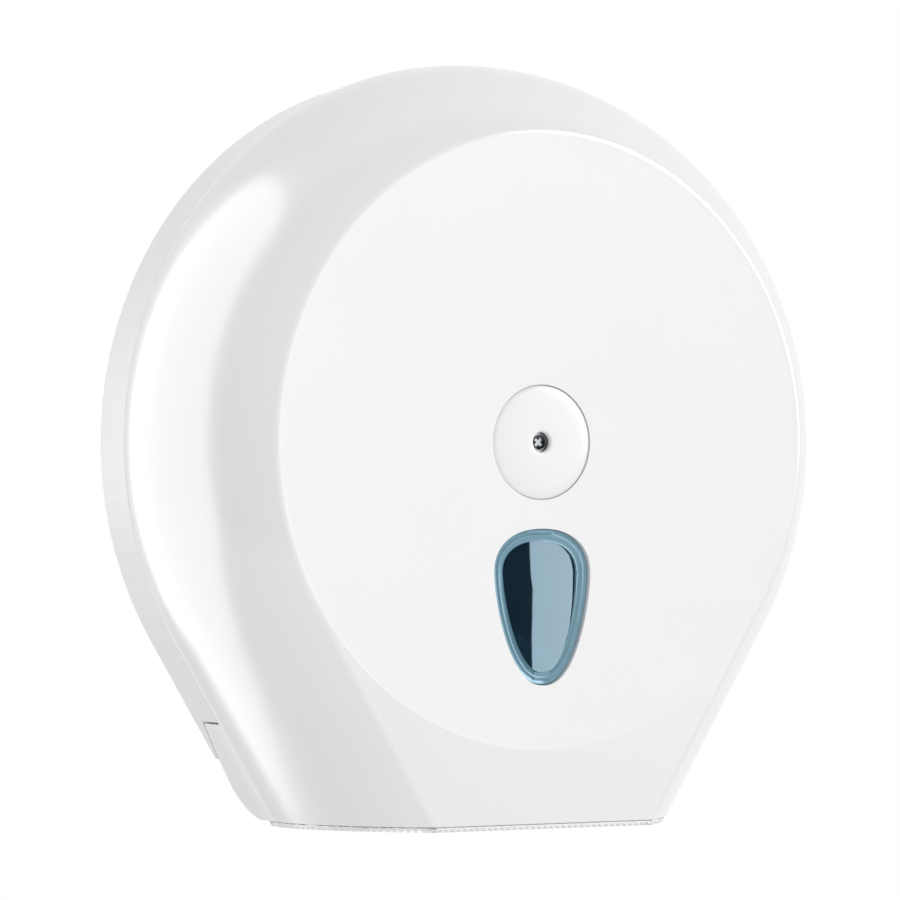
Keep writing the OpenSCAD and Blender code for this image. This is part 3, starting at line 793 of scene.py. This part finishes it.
@dataclass
class CoverShell:
    """The white cover: round shoulder, hollow front disc, flat panel, skirt, recess and bosses.

    Attributes:
        finishes: The finishes.
        rear: Depth of the cover's rear edge above the notch.
        fold_r: Rounding between the front and the shoulder.
        pivot: The hinge's axis, as depth and height.
        skirt_r: Radius of the skirt's heel about that axis.
        notch: Height of the notch's upper edge.
        ring_r: Radius of the stiff ring behind the lock.
        recess_r: Radius of the lock plate's recess.
        neck_r: Radius of the hole for the lock plate's neck.
        boss_r: Radius of the lens screws' bosses.
        pilot_r: Radius of their pilot holes.
        bore_r: Radius of the hinge pins' bores.
        piece: The finished piece.
    """

    finishes: Finishes
    rear: float = 28.5
    fold_r: float = 3.6
    pivot: Point = (16.0, -162.8)
    skirt_r: float = 15.2
    notch: float = -132.1
    ring_r: float = 31.0
    recess_r: float = 27.0
    neck_r: float = 22.0
    boss_r: float = 3.0
    pilot_r: float = 1.15
    bore_r: float = 2.56
    piece: bpy.types.Object | None = None

    def profile(self) -> list[Point]:
        """Gives the shoulder's profile from the wall to the front, as radius and depth."""
        steps = [-1.5, 6.0, 13.0, 20.5, 28.0, 31.0, 34.0]
        steps += [BODY.bulge + (BODY.depth - BODY.bulge) * i / 26 for i in range(26)]
        corner = (BODY.front_r, BODY.depth)
        rounding = fillet(
            (BODY.radius(BODY.depth - 2), BODY.depth - 2), corner, (0, BODY.depth), self.fold_r, 6
        )
        start = rounding[0][1]
        body = [(BODY.radius(d), d) for d in steps if d < start - 1.0]
        return body + rounding

    def side_view(self) -> list[Point]:
        """Gives what is kept of the cover, seen from the side, as depth and height."""
        depth, height = self.pivot
        arc = [math.pi * 1.5 - math.pi / 2 * i / 12 for i in range(13)]
        heel = [(depth + self.skirt_r * math.cos(a), height + self.skirt_r * math.sin(a)) for a in arc]
        lug = fillet((3.8, -149.5), (10.0, self.notch), (20.0, self.notch), 2.6, 5)
        front = [(self.rear, 300.0), (200.0, 300.0), (200.0, BODY.floor)]
        return [*front, *heel, (3.8, -149.5), *lug, (self.rear, self.notch)]

    def skin(self) -> bpy.types.Object:
        """Builds the outer skin and closes its front with the hollow disc and the flat panel."""
        profile = self.profile()
        rings = [BODY.outline(r, d, BODY.floor - 6) for r, d in profile]
        skin = BENCH.ring_ladder("cover_skin", rings, closed=False)
        bpy.ops.object.mode_set(mode="OBJECT")
        # The front disc: a circle filled, then inset and pushed back ring by ring.
        rim = profile[-1][0]
        BENCH.clear()
        bpy.ops.mesh.primitive_circle_add(
            vertices=180,
            radius=rim * MM,
            fill_type="NGON",
            location=(0, -BODY.depth * MM, 0),
            rotation=(math.pi / 2, 0, 0),
        )
        disc = bpy.context.object
        bpy.ops.object.transform_apply(location=True, rotation=True, scale=True)
        bpy.ops.object.mode_set(mode="EDIT")
        bpy.ops.mesh.select_all(action="SELECT")
        reach, behind = rim, 0.0
        for inner in (143.2, 141.5, 136.0, 124.0, 110.0, 92.0, 74.0, 56.0, 40.0, 24.0, 10.0):
            bpy.ops.mesh.inset(thickness=(reach - inner) * MM)
            drop = BODY.dish_at(inner)
            bpy.ops.transform.translate(value=(0, (drop - behind) * MM, 0))
            reach, behind = inner, drop
        bpy.ops.mesh.poke()
        bpy.ops.object.mode_set(mode="OBJECT")
        skin.select_set(True)
        bpy.context.view_layer.objects.active = skin
        bpy.ops.object.join()
        bpy.ops.object.mode_set(mode="EDIT")
        # The disc's circle has its points where the shoulder's rings have theirs, so the two merge.
        BENCH.tidy(0.05)
        # The panel under the disc: the open edge in the front plane is closed at the bottom and filled flat.
        front = -BODY.depth * MM
        low = (BODY.floor - 6) * MM
        BENCH.select_where(skin, lambda p: abs(p.y * MM - front) < 1e-6 and abs(p.z * MM - low) < 1e-6)
        bpy.ops.mesh.edge_face_add()
        BENCH.select_where(skin, lambda p: False, "EDGE")
        mesh = bmesh.from_edit_mesh(skin.data)
        for edge in mesh.edges:
            if (edge.is_boundary or edge.is_wire) and all(abs(v.co.y - front) < 1e-6 for v in edge.verts):
                edge.select_set(True)
        bmesh.update_edit_mesh(skin.data)
        bpy.ops.mesh.fill(use_beauty=True)
        BENCH.tidy()
        bpy.ops.object.mode_set(mode="OBJECT")
        return skin

    def lug(self, side: int) -> bpy.types.Object:
        """Makes one hinge boss, its outer end cut along the leaning wall.

        Args:
            side: 1 on the right, -1 on the left.

        Returns:
            The boss.
        """
        depth, height = self.pivot
        lean = math.tan(math.radians(BODY.side_angle))
        rings = []
        for start, slant in ((91.6, 0.0), (104.0, lean)):
            angles = [math.tau * i / 48 for i in range(48)]
            rings.append(
                [
                    (side * (start + 6.0 * math.sin(a) * slant), 6.0 * math.cos(a) - depth, 6.0 * math.sin(a) + height)
                    for a in angles
                ]
            )
        return BENCH.closed_ladder("lug", rings)

    def build(self) -> None:
        """Models the cover."""
        shell = self.skin()
        BENCH.only(shell)
        wall = shell.modifiers.new("wall", "SOLIDIFY")
        wall.thickness, wall.offset, wall.use_even_offset = BODY.wall * MM, -1.0, True
        bpy.ops.object.modifier_apply(modifier=wall.name)
        side = [(-250.0, -d, z) for d, z in self.side_view()]
        BENCH.carve(shell, BENCH.prism("trim", side, (500, 0, 0)), "INTERSECT")
        BENCH.carve(shell, BENCH.rod("ring", self.ring_r, (0, -104.7, 0), (0, -107.6, 0), 96), "UNION")
        place = WINDOW.frame()
        for x, y in WINDOW.screw_spots():
            ends = [tuple(place @ Vector((x, y, h))) for h in (-4.7, -2.0)]
            BENCH.carve(shell, BENCH.rod("boss", self.boss_r, *ends, 32), "UNION")
        for side_x in (-1, 1):
            BENCH.carve(shell, self.lug(side_x), "UNION")
        BENCH.carve(shell, BENCH.rod("recess", self.recess_r, (0, -107.2, 0), (0, -120, 0), 128))
        BENCH.carve(shell, BENCH.rod("neck", self.neck_r, (0, -100, 0), (0, -120, 0), 96))
        BENCH.carve(shell, BENCH.prism("pane", WINDOW.ring(0, -12), (0, -24, 0)))
        for x, y in WINDOW.screw_spots():
            ends = [tuple(place @ Vector((x, y, h))) for h in (-6.0, -1.0)]
            BENCH.carve(shell, BENCH.rod("pilot", self.pilot_r, *ends, 16))
        for side_x in (-1, 1):
            ends = [(side_x * x, -self.pivot[0], self.pivot[1]) for x in (90.0, 103.2)]
            BENCH.carve(shell, BENCH.rod("bore", self.bore_r, *ends, 32))
        BENCH.round_edges(shell, 0.2, 2, 50)
        BENCH.smooth(shell)
        shell.name = shell.data.name = "cover_moulding"
        self.piece = shell

    def dress(self) -> None:
        """Puts the cover on its body and gives it its finish."""
        self.finishes.wear(self.piece, "white_cover")
        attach(self.piece, "cover")
        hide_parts("cover_shell")
        LOG.info("cover: %d faces", len(self.piece.data.polygons))


@dataclass
class LensPane:
    """The tinted lens: a hidden flange, a low shelf, a raised ridge and the pane.

    Attributes:
        finishes: The finishes.
        bow: Height of the pane's bow.
        crest: Place of the bow's crest, to the right of the middle.
        lean: How much the pane rises towards its bottom, per millimetre.
        piece: The finished piece.
    """

    finishes: Finishes
    bow: float = 1.1
    crest: float = -9.0
    lean: float = 0.022
    piece: bpy.types.Object | None = None

    def ring(self, grow: float, height: float, scale: float = 1.0, bowed: bool = False) -> list[Point3]:
        """Gives one ring of the lens, shrunk towards its middle and bowed like a barrel for the pane.

        Args:
            grow: How far the teardrop is grown outwards.
            height: Height in front of the window's plane.
            scale: Share of the ring's size.
            bowed: Whether the ring lies on the bowed pane.

        Returns:
            The ring's points, in millimetres.
        """
        place = WINDOW.frame()
        back = place.inverted()
        points = []
        for point in WINDOW.ring(grow, height):
            x, y, h = back @ Vector(point)
            x, y = x * scale, (y + 12.0) * scale - 12.0
            if bowed:
                h += self.bow * (1 - ((x - self.crest) / (WINDOW.width / 2 - 6.0)) ** 2)
                h -= self.lean * (y + 12.0)
            points.append(tuple(place @ Vector((x, y, h))))
        return points

    def build(self) -> None:
        """Models the lens as one skin through its rings, from the back over the rim to the front."""
        steps = [
            (-6.0, -4.5), (-5.6, -4.7), (4.0, -4.7), (4.0, -2.95), (-0.3, -2.95), (-0.3, -2.2), (-0.5, -1.9),
            (-0.8, -1.85), (-1.7, -2.25), (-2.4, -2.3), (-2.75, -2.1), (-2.9, -1.6), (-3.1, -1.35), (-3.5, -1.3),
            (-3.9, -1.45), (-4.4, -2.1), (-4.9, -2.5), (-5.4, -2.6), (-5.9, -2.5),
        ]  # fmt: skip
        rings = [self.ring(grow, height) for grow, height in steps]
        rings += [self.ring(-6.0, -2.5, scale, True) for scale in (1.0, 0.97, 0.9, 0.8, 0.65, 0.5, 0.33, 0.16, 0.04)]
        lens = BENCH.closed_ladder("lens_skin", rings)
        for tab in self.tabs():
            BENCH.carve(lens, tab, "UNION")
        BENCH.smooth(lens, 40)
        lens.name = lens.data.name = "lens_moulding"
        self.piece = lens

    def tabs(self) -> list[bpy.types.Object]:
        """Makes the two snap tabs that bridge the rim's groove, at the top and at the bottom."""
        place = WINDOW.frame()
        pieces = []
        for middle, width, height in ((WINDOW.up - 1.6, 15.0, 1.7), (-WINDOW.down + 4.4, 8.6, 3.6)):
            corners = [(-1, -1), (1, -1), (1, 1), (-1, 1)]
            ring = [
                tuple(place @ Vector((x * width / 2, middle + y * height / 2, -3.4))) for x, y in corners
            ]
            travel = place.to_3x3() @ Vector((0, 0, 1.75))
            pieces.append(BENCH.prism("tab", ring, tuple(travel)))
        return pieces

    def dress(self) -> None:
        """Puts the lens on the cover and gives it its finish."""
        self.finishes.wear(self.piece, "blue_lens")
        # The rim's faces get the paler copy of the lens plastic, painted light for the light the thick rim scatters;
        # the pane keeps the deep blue.
        self.piece.data.materials.append(self.finishes.rim)
        back = WINDOW.frame().inverted()
        for face in self.piece.data.polygons:
            spot = back @ (face.center / MM)
            face.material_index = 0 if WINDOW.holds(spot.x, spot.y, -6.05) else 1
        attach(self.piece, "cover")
        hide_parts("window_lens")
        LOG.info("lens: %d faces", len(self.piece.data.polygons))


@dataclass
class LockPlate:
    """The round plate of the lock, gently domed, with a dished key hole.

    Attributes:
        finishes: The finishes.
        radius: Radius of the plate.
        dome: Height of its dome.
        screw_ring: Radius of the circle that its screws stand on.
        piece: The finished piece.
    """

    finishes: Finishes
    radius: float = 26.5
    dome: float = 0.12
    screw_ring: float = 15.5
    piece: bpy.types.Object | None = None

    def circle(self, radius: float, depth: float, count: int = 128) -> list[Point3]:
        """Gives a circle about the spindle's axis at one depth."""
        return [
            (radius * math.cos(math.tau * i / count), -depth, radius * math.sin(math.tau * i / count))
            for i in range(count)
        ]

    def build(self) -> None:
        """Models the plate, its neck, its collar and its screw bosses."""
        seat, face = 107.3, 109.4
        rim, key = self.radius, 4.6
        front = [(rim - 0.9, face - 0.25), (rim - 1.6, face - 0.02)]
        front += [(r, face + self.dome * (1 - (r / rim) ** 2)) for r in (22.0, 17.0, 12.0, 8.0, key + 1.1)]
        crown = face + self.dome
        steps = [
            (6.05, seat), (6.05, 103.0), (9.0, 103.0), (9.0, seat - 0.3), (18.6, seat - 0.3), (18.6, 101.6),
            (21.8, 101.6), (21.8, seat), (rim - 0.3, seat), (rim, seat + 0.3), (rim, face - 0.9), *front,
            (key + 0.7, crown - 0.12), (key + 0.1, crown - 0.8), (key, crown - 1.3), (key, seat),
        ]  # fmt: skip
        rings = [self.circle(r, d) for r, d in steps]
        plate = BENCH.ring_ladder("plate_skin", [*rings, rings[0]])
        BENCH.tidy()
        bpy.ops.object.mode_set(mode="OBJECT")
        for i in range(3):
            angle = math.radians(90 + 120 * i)
            x, z = self.screw_ring * math.cos(angle), self.screw_ring * math.sin(angle)
            BENCH.carve(plate, BENCH.rod("boss", 3.0, (x, -101.6, z), (x, -107.4, z), 32), "UNION")
            BENCH.carve(plate, BENCH.rod("pilot", 1.35, (x, -100.0, z), (x, -106.3, z), 16))
        BENCH.smooth(plate, 32)
        plate.name = plate.data.name = "lock_plate_moulding"
        self.piece = plate

    def dress(self) -> None:
        """Puts the plate on the cover and gives it its finish."""
        self.finishes.wear(self.piece, "white_cover")
        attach(self.piece, "cover")
        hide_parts("lock_plate")
        LOG.info("lock plate: %d faces", len(self.piece.data.polygons))


@dataclass
class RefinedNodes:
    """The turned and moulded pieces of the frame, copied with smooth rounds instead of facets.

    Attributes:
        finishes: The finishes.
        nodes: The frame's nodes by name.
        names: The nodes to refine.
    """

    finishes: Finishes
    nodes: dict[str, bpy.types.Object]
    names: tuple[str, ...] = (
        "tear_strip", "spindle_post", "roll_hub", "core_adapter", "hub_retainer", "brake_washer", "lock_striker",
        "hinge_pin_left", "hinge_pin_right", "lens_frame", "lock_housing",
    )  # fmt: skip

    def copy_of(self, name: str) -> bpy.types.Object:
        """Copies one node, merges its loose triangles and smooths its rounds.

        Args:
            name: The node.

        Returns:
            The copy.
        """
        BENCH.only(self.nodes[name])
        bpy.ops.object.duplicate()
        piece = bpy.context.object
        BENCH.only(piece)
        bpy.ops.object.mode_set(mode="EDIT")
        bpy.ops.mesh.select_all(action="SELECT")
        bpy.ops.mesh.remove_doubles(threshold=0.002 * MM)
        bpy.ops.object.mode_set(mode="OBJECT")
        BENCH.smooth(piece, 28)
        # Large faces lead the shading, so that the thin triangles between them don't show.
        even = piece.modifiers.new("even", "WEIGHTED_NORMAL")
        even.mode, even.weight, even.keep_sharp = "FACE_AREA_WITH_ANGLE", 100, True
        bpy.ops.object.modifier_apply(modifier=even.name)
        piece.name = piece.data.name = f"{name}_finished"
        return piece

    def build(self) -> None:
        """Makes and dresses the copies."""
        bodies = frame["record"]["behaviour"]["bodies"]
        rides = {node: body for body, members in bodies.items() for node in members}
        slots = {part["node"]: part["material_slot"] for part in frame["record"]["subparts"]}
        for name in self.names:
            piece = self.copy_of(name)
            self.finishes.wear(piece, slots[name])
            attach(piece, rides[name])
            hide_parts(name)
            LOG.info("%s: %d faces", name, len(piece.data.polygons))


@dataclass
class CarriedNodes:
    """The frame's own nodes whose shape is right: they stay and get their finish.

    Attributes:
        finishes: The finishes.
        nodes: The frame's nodes by name.
    """

    finishes: Finishes
    nodes: dict[str, bpy.types.Object]

    def dress(self) -> None:
        """Gives each shown node the material of its slot."""
        slots = {part["node"]: part["material_slot"] for part in frame["record"]["subparts"]}
        for name, node in self.nodes.items():
            if not node.hide_render:
                self.finishes.wear(node, slots[name])
                LOG.info("%s: %s", name, slots[name])


@dataclass
class SoftBox:
    """One lamp of the studio.

    Attributes:
        name: Its name.
        place: Its middle, in metres.
        aim: The point that it faces, in metres.
        size: Width and height in metres.
        glow: Its brightness, 1 being white paper in full light.
        highlight: Whether it gives only highlights, and otherwise only soft light.
    """

    name: str
    place: Point3
    aim: Point3
    size: Point
    glow: float
    highlight: bool = False

    def hang(self) -> None:
        """Adds the lamp to the scene."""
        lamp = bpy.data.lights.new(self.name, "AREA")
        lamp.shape, lamp.size, lamp.size_y = "RECTANGLE", self.size[0], self.size[1]
        lamp.energy = self.glow * math.pi * self.size[0] * self.size[1]
        body = bpy.data.objects.new(self.name, lamp)
        body.visible_camera = False
        body.visible_diffuse = not self.highlight
        body.visible_glossy = self.highlight
        bpy.context.scene.collection.objects.link(body)
        body.location = self.place
        body.rotation_euler = (Vector(self.aim) - Vector(self.place)).to_track_quat("-Z", "Y").to_euler()


@dataclass
class Studio:
    """Floor, lamps, surroundings and camera.

    Attributes:
        turn: How far the camera stands to the left of the front, in degrees.
        lens: Focal length in millimetres on a 36 mm sensor.
        floor: Height of the floor in metres.
        fill: Strength of the surroundings as a light.
        reflector: Brightness of the reflector.
    """

    turn: float = 32.0
    lens: float = 256.8
    floor: float = -1.0
    fill: float = 0.86
    reflector: float = 4.8

    def lay_floor(self) -> None:
        """Lays a pale round floor that fades to white at its edge."""
        BENCH.clear()
        bpy.ops.mesh.primitive_circle_add(vertices=96, radius=2.2, fill_type="NGON", location=(0, 0, self.floor))
        floor = bpy.context.object
        floor.name = "studio_floor"
        material, tree = fresh_material("studio_floor_paint")
        place = add_node(tree, "ShaderNodeTexCoord").outputs["Object"]
        reach = add_node(tree, "ShaderNodeVectorMath", settings={"operation": "LENGTH"}, links={"Vector": place})
        fade = add_node(
            tree,
            "ShaderNodeMapRange",
            settings={"interpolation_type": "SMOOTHSTEP"},
            inputs={"From Min": 0.7, "From Max": 2.1},
            links={"Value": reach.outputs["Value"]},
        )
        seen = add_node(tree, "ShaderNodeLightPath")
        edge = add_node(
            tree,
            "ShaderNodeMath",
            settings={"operation": "MULTIPLY"},
            links={"Value": fade.outputs["Result"]},
        )
        tree.links.new(seen.outputs["Is Camera Ray"], edge.inputs[1])
        paint = add_node(tree, "ShaderNodeBsdfDiffuse", inputs={"Color": tint("#F4F4F4")})
        white = add_node(tree, "ShaderNodeEmission", inputs={"Color": (1, 1, 1, 1), "Strength": 1.0})
        both = add_node(tree, "ShaderNodeMixShader", links={"Fac": edge.outputs["Value"]})
        tree.links.new(paint.outputs["BSDF"], both.inputs[1])
        tree.links.new(white.outputs["Emission"], both.inputs[2])
        add_node(tree, "ShaderNodeOutputMaterial", links={"Surface": both.outputs["Shader"]})
        floor.data.materials.append(material)

    def surround(self) -> None:
        """Sets the surroundings: white where they are seen, a plain grey room as a light."""
        world = bpy.data.worlds.new("studio_room")
        bpy.context.scene.world = world
        world.use_nodes = True
        tree = world.node_tree
        tree.nodes.clear()
        path = add_node(tree, "ShaderNodeLightPath")
        toward = add_node(
            tree,
            "ShaderNodeSeparateXYZ",
            links={"Vector": add_node(tree, "ShaderNodeTexCoord").outputs["Generated"]},
        )
        # Behind the object hangs the white backdrop; in front of it the room is dim.
        behind = add_node(
            tree,
            "ShaderNodeMapRange",
            inputs={"From Min": -0.1, "From Max": 0.15},
            links={"Value": toward.outputs["Y"]},
        )
        mirror = add_node(
            tree,
            "ShaderNodeMix",
            settings={"data_type": "RGBA"},
            inputs={"A": (0.03, 0.03, 0.035, 1), "B": (1, 1, 1, 1)},
            links={"Factor": behind.outputs["Result"]},
        )
        sharp = add_node(
            tree,
            "ShaderNodeMath",
            settings={"operation": "MAXIMUM"},
            links={"Value": path.outputs["Is Glossy Ray"]},
        )
        tree.links.new(path.outputs["Is Transmission Ray"], sharp.inputs[1])
        # The walls of the room are a little brighter than its ceiling.
        height = add_node(
            tree,
            "ShaderNodeMapRange",
            settings={"interpolation_type": "SMOOTHSTEP"},
            inputs={"From Min": 0.2, "From Max": 1.0, "To Min": self.fill, "To Max": self.fill * 0.8},
            links={"Value": toward.outputs["Z"]},
        )
        soft = add_node(
            tree,
            "ShaderNodeMix",
            settings={"data_type": "RGBA"},
            inputs={"A": (0, 0, 0, 1), "B": (1, 1, 1.01, 1)},
            links={"Factor": height.outputs["Result"]},
        )
        room = add_node(
            tree,
            "ShaderNodeMix",
            settings={"data_type": "RGBA"},
            links={"Factor": sharp.outputs["Value"], "A": soft.outputs["Result"], "B": mirror.outputs["Result"]},
        )
        seen = add_node(
            tree,
            "ShaderNodeMix",
            settings={"data_type": "RGBA"},
            inputs={"B": (1, 1, 1, 1)},
            links={"Factor": path.outputs["Is Camera Ray"], "A": room.outputs["Result"]},
        )
        light = add_node(tree, "ShaderNodeBackground", links={"Color": seen.outputs["Result"]})
        add_node(tree, "ShaderNodeOutputWorld", links={"Surface": light.outputs["Background"]})

    def hang_lamps(self) -> None:
        """Hangs the soft boxes."""
        SoftBox("key_box", (0.6, -1.75, 0.55), (0.0, -0.05, 0.0), (1.0, 1.0), 2.6).hang()
        SoftBox("right_box", (4.05, -2.93, 2.29), (0.0, 0.0, 2.29), (3.64, 4.75), 7.0, True).hang()

    def stand_card(self) -> None:
        """Stands a long bright reflector left of the dispenser, from its front round to the wall."""
        corners = [
            (-0.06, 0.75), (-0.065, 0.3), (-0.087, -0.18), (0.08, -0.55), (0.18, -0.62), (0.3, -0.7), (0.6, -0.84),
            (1.0, -0.97), (0.94, -0.35), (1.9, -0.35), (1.9, 1.4), (0.93, 1.4), (0.5, 1.3), (0.12, 1.02),
        ]  # fmt: skip
        BENCH.clear()
        bpy.ops.mesh.primitive_circle_add(vertices=len(corners), radius=1.0, fill_type="NGON")
        card = bpy.context.object
        card.name = "studio_reflector"
        for vert, (y, z) in zip(card.data.vertices, corners, strict=True):
            vert.co = (-0.55, y, z)
        material, tree = fresh_material("studio_reflector_glow")
        place = add_node(tree, "ShaderNodeTexCoord").outputs["Generated"]
        apart = add_node(tree, "ShaderNodeSeparateXYZ", links={"Vector": place})
        # The lamp that feeds the reflector lights its front half; behind that it is much dimmer.
        glow = add_node(
            tree,
            "ShaderNodeMapRange",
            settings={"interpolation_type": "SMOOTHSTEP"},
            inputs={"From Min": 0.48, "From Max": 0.53, "To Min": self.reflector, "To Max": self.reflector * 0.3},
            links={"Value": apart.outputs["Y"]},
        )
        shine = add_node(
            tree, "ShaderNodeEmission", inputs={"Color": (1, 1, 1, 1)}, links={"Strength": glow.outputs["Result"]}
        )
        add_node(tree, "ShaderNodeOutputMaterial", links={"Surface": shine.outputs["Emission"]})
        card.data.materials.append(material)
        card.visible_camera = card.visible_diffuse = card.visible_transmission = card.visible_shadow = False

    def set_camera(self) -> None:
        """Sets the camera level, at the photograph's angle."""
        lens = bpy.data.cameras.new("photo_camera")
        lens.lens, lens.sensor_width = self.lens, 36.0
        lens.clip_start, lens.clip_end = 0.05, 50.0
        camera = bpy.data.objects.new("photo_camera", lens)
        bpy.context.scene.collection.objects.link(camera)
        camera.location = (-1.6261, -2.6304, -0.0036)
        camera.rotation_euler = (math.pi / 2, 0, -math.radians(self.turn))
        bpy.context.scene.camera = camera

    def build(self) -> None:
        """Sets up the whole studio."""
        self.lay_floor()
        self.surround()
        self.hang_lamps()
        self.stand_card()
        self.set_camera()
        bpy.context.scene.view_settings.view_transform = "Standard"
        LOG.info("studio set")


def main() -> None:
    """Builds the dispenser piece by piece, then the studio round it."""
    finishes = Finishes()
    finishes.mix()
    for assembly in (CoverShell(finishes), LensPane(finishes), LockPlate(finishes)):
        assembly.build()
        assembly.dress()
    RefinedNodes(finishes, frame["nodes"]).build()
    CarriedNodes(finishes, frame["nodes"]).dress()
    Studio().build()


if __name__ == "__main__":
    main()
